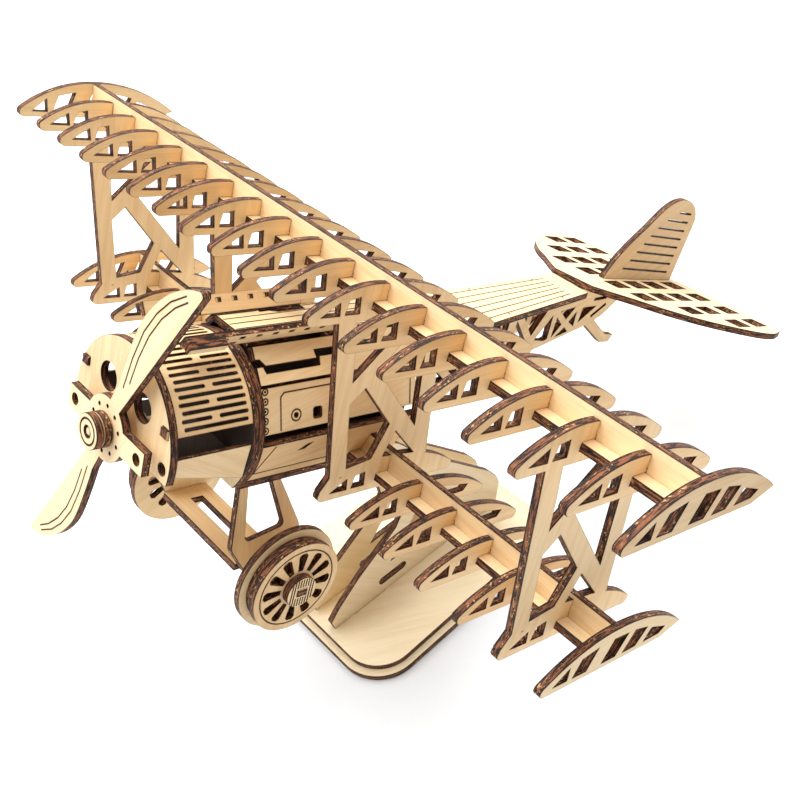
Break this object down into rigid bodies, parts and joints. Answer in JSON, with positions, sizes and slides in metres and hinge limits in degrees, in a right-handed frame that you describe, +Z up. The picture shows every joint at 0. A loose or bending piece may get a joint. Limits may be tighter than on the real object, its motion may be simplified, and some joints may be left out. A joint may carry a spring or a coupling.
{
  "type": "biplane scale model",
  "caption": "Biplane scale model built from laser-cut plywood boards, with open ribbed wings, a louvred cowl, turning propeller and wheels, held nose-up on a plywood stand",
  "frame": {"origin": "centre of the stand's underside, on the surface it rests on", "axes": "+Z up, nose toward -Y, port wing toward +X"},
  "size_m": [0.227, 0.2324, 0.1621],
  "materials": {
    "plywood": "sanded light plywood with laser-burnt edges",
    "stand_plywood": "sanded light plywood with laser-burnt edges",
    "dowel": "plain wooden dowel"
  },
  "bodies": {
    "stand": {"base_lower_plate": "stand_plywood", "base_upper_plate": "stand_plywood", "port_stand_upright": "stand_plywood", "starboard_stand_upright": "stand_plywood"},
    "airframe": {"axle_board": "plywood", "belly_panel": "plywood", "cowl_floor_panel": "plywood", "cowl_louvre_sheet": "plywood", "fin": "plywood", "firewall_rings": "plywood", "front_deck": "plywood", "fuselage_formers": "plywood", "lower_wing_front_strip": "plywood", "lower_wing_port_ribs": "plywood", "lower_wing_port_tip_rib": "plywood", "lower_wing_spar": "plywood", "lower_wing_starboard_ribs": "plywood", "lower_wing_starboard_tip_rib": "plywood", "nose_plate": "plywood", "port_cockpit_rail": "plywood", "port_hub_bush": "plywood", "port_hub_cap": "plywood", "port_inner_strut_board": "plywood", "port_landing_gear_plate": "plywood", "port_lower_cowl_panel": "plywood", "port_lower_side_panel": "plywood", "port_outer_strut_board": "plywood", "port_shoulder_panel": "plywood", "port_side_panel": "plywood", "port_tail_truss": "plywood", "rear_deck": "plywood", "starboard_cockpit_rail": "plywood", "starboard_hub_bush": "plywood", "starboard_hub_cap": "plywood", "starboard_inner_strut_board": "plywood", "starboard_landing_gear_plate": "plywood", "starboard_lower_cowl_panel": "plywood", "starboard_lower_side_panel": "plywood", "starboard_outer_strut_board": "plywood", "starboard_shoulder_panel": "plywood", "starboard_side_panel": "plywood", "starboard_tail_truss": "plywood", "tail_skid": "plywood", "tailplane": "plywood", "upper_wing_centre_ribs": "plywood", "upper_wing_front_strip": "plywood", "upper_wing_port_end_bay_rib": "plywood", "upper_wing_port_ribs": "plywood", "upper_wing_port_tip_rib": "plywood", "upper_wing_spar": "plywood", "upper_wing_starboard_end_bay_rib": "plywood", "upper_wing_starboard_ribs": "plywood", "upper_wing_starboard_tip_rib": "plywood"},
    "propeller_unit": {"propeller": "plywood", "propeller_hub_discs": "plywood", "propeller_shaft": "dowel"},
    "port_wheel": {"port_tyre_rings": "plywood", "port_spoked_disc": "plywood"},
    "starboard_wheel": {"starboard_tyre_rings": "plywood", "starboard_spoked_disc": "plywood"}
  },
  "joints": [
    {"name": "airframe_lift_off", "type": "slide", "parent": "stand", "child": "airframe", "axis": [0, 0.454, 0.891], "range_m": [0, 0.03]},
    {"name": "propeller_spin", "type": "hinge", "parent": "airframe", "child": "propeller_unit", "pos_m": [0, -0.07084, 0.11925], "axis": [0, 0.891, -0.454], "continuous": true},
    {"name": "port_wheel_spin", "type": "hinge", "parent": "airframe", "child": "port_wheel", "pos_m": [0.0286, -0.05437, 0.06899], "axis": [1, 0, 0], "continuous": true},
    {"name": "starboard_wheel_spin", "type": "hinge", "parent": "airframe", "child": "starboard_wheel", "pos_m": [-0.0286, -0.05437, 0.06899], "axis": [1, 0, 0], "continuous": true}
  ]
}
